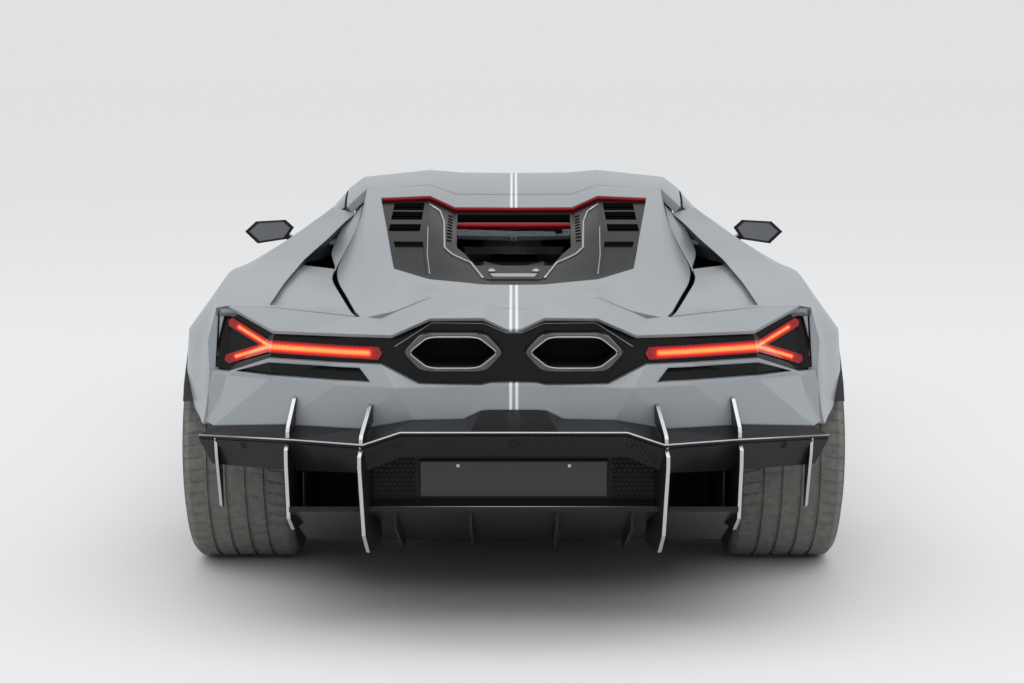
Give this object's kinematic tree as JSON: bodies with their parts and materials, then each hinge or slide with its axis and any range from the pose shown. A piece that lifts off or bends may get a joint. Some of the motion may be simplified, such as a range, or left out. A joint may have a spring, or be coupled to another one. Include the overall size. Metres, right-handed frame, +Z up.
{
  "type": "mid-engined supercar",
  "caption": "Low two-seat sports car with flying buttresses, hexagonal exhausts, lifting doors, front and engine lids, steering and rolling wheels.",
  "frame": {"origin": "on the ground, under the middle of the car's length and width", "axes": "+Y forwards along the car, +X to the car's right, +Z up"},
  "size_m": [2.264, 4.9467, 1.1629],
  "materials": {
    "body_grey": "satin grey paint",
    "brake_disc": "carbon ceramic disc",
    "cabin_trim": "black trim",
    "carbon_black": "woven carbon, satin lacquer",
    "dark_glass": "tinted glass",
    "engine_grey": "dark castings",
    "exhaust_steel": "heat-toned steel",
    "fin_silver": "satin silver",
    "gloss_black": "gloss black",
    "lamp_clear": "clear lamp",
    "matte_black": "matt black",
    "plate_black": "blank plate",
    "red_lamp": "lit red lens",
    "suspension_alloy": "cast alloy",
    "tyre_rubber": "tyre rubber",
    "wheel_black": "gloss black alloy"
  },
  "bodies": {
    "root": {"arch_liners": "matte_black", "dashboard": "cabin_trim", "diffuser": "carbon_black", "engine_block": "engine_grey", "engine_frame": "matte_black", "exhaust_tips": "exhaust_steel", "front_bumper": "body_grey", "front_fender_left": "body_grey", "front_fender_right": "body_grey", "front_splitter": "carbon_black", "headlamps": "lamp_clear", "intake_grilles": "matte_black", "knuckles_rear": "suspension_alloy", "lamp_band": "gloss_black", "nose_frame": "matte_black", "plate_carrier": "plate_black", "quarter_left": "body_grey", "quarter_right": "body_grey", "rear_frame": "matte_black", "rear_lip": "carbon_black", "rear_window": "dark_glass", "roof_frame": "body_grey", "seats": "cabin_trim", "side_ducts": "gloss_black", "side_skirts": "carbon_black", "tail_brow": "body_grey", "tail_bumper": "body_grey", "tail_fins": "fin_silver", "tail_lamps": "red_lamp", "tub": "carbon_black", "windscreen": "dark_glass", "wishbones": "suspension_alloy"},
    "door_left": {"door_left": "body_grey", "door_glass_left": "dark_glass", "mirror_left": "gloss_black"},
    "door_right": {"door_right": "body_grey", "door_glass_right": "dark_glass", "mirror_right": "gloss_black"},
    "front_lid": {"front_lid": "body_grey"},
    "engine_lid": {"engine_lid": "body_grey", "engine_vents": "gloss_black"},
    "steer_left": {"knuckle_front_left": "suspension_alloy"},
    "steer_right": {"knuckle_front_right": "suspension_alloy"},
    "wheel_front_left": {"tyre_front_left": "tyre_rubber", "rim_front_left": "wheel_black", "disc_front_left": "brake_disc"},
    "wheel_rear_left": {"tyre_rear_left": "tyre_rubber", "rim_rear_left": "wheel_black", "disc_rear_left": "brake_disc"},
    "wheel_front_right": {"tyre_front_right": "tyre_rubber", "rim_front_right": "wheel_black", "disc_front_right": "brake_disc"},
    "wheel_rear_right": {"tyre_rear_right": "tyre_rubber", "rim_rear_right": "wheel_black", "disc_rear_right": "brake_disc"}
  },
  "joints": [
    {"name": "door_left_hinge", "type": "hinge", "parent": "root", "child": "door_left", "pos_m": [-0.905, 0.868, 0.8], "axis": [-0.9703, 0, -0.2419], "range_deg": [0, 70]},
    {"name": "door_right_hinge", "type": "hinge", "parent": "root", "child": "door_right", "pos_m": [0.905, 0.868, 0.8], "axis": [-0.9703, 0, 0.2419], "range_deg": [0, 70]},
    {"name": "front_lid_hinge", "type": "hinge", "parent": "root", "child": "front_lid", "pos_m": [0, 0.93, 0.812], "axis": [1, 0, 0], "range_deg": [0, 55]},
    {"name": "engine_lid_hinge", "type": "hinge", "parent": "root", "child": "engine_lid", "pos_m": [0, -0.462, 1.14], "axis": [-1, 0, 0], "range_deg": [0, 50]},
    {"name": "steer_left_kingpin", "type": "hinge", "parent": "root", "child": "steer_left", "pos_m": [-0.78475, 1.373, 0.3465], "axis": [0, 0, 1], "range_deg": [-34, 34]},
    {"name": "steer_right_kingpin", "type": "hinge", "parent": "root", "child": "steer_right", "pos_m": [0.78475, 1.373, 0.3465], "axis": [0, 0, 1], "range_deg": [-34, 34]},
    {"name": "wheel_front_left_spin", "type": "hinge", "parent": "steer_left", "child": "wheel_front_left", "pos_m": [-0.86, 1.373, 0.3465], "axis": [-1, 0, 0], "continuous": true},
    {"name": "wheel_rear_left_spin", "type": "hinge", "parent": "root", "child": "wheel_rear_left", "pos_m": [-0.8505, -1.406, 0.37], "axis": [-1, 0, 0], "continuous": true},
    {"name": "wheel_front_right_spin", "type": "hinge", "parent": "steer_right", "child": "wheel_front_right", "pos_m": [0.86, 1.373, 0.3465], "axis": [-1, 0, 0], "continuous": true},
    {"name": "wheel_rear_right_spin", "type": "hinge", "parent": "root", "child": "wheel_rear_right", "pos_m": [0.8505, -1.406, 0.37], "axis": [-1, 0, 0], "continuous": true}
  ],
  "couplings": [
    {"joint": "steer_right_kingpin", "follows": "steer_left_kingpin", "ratio": 1}
  ]
}
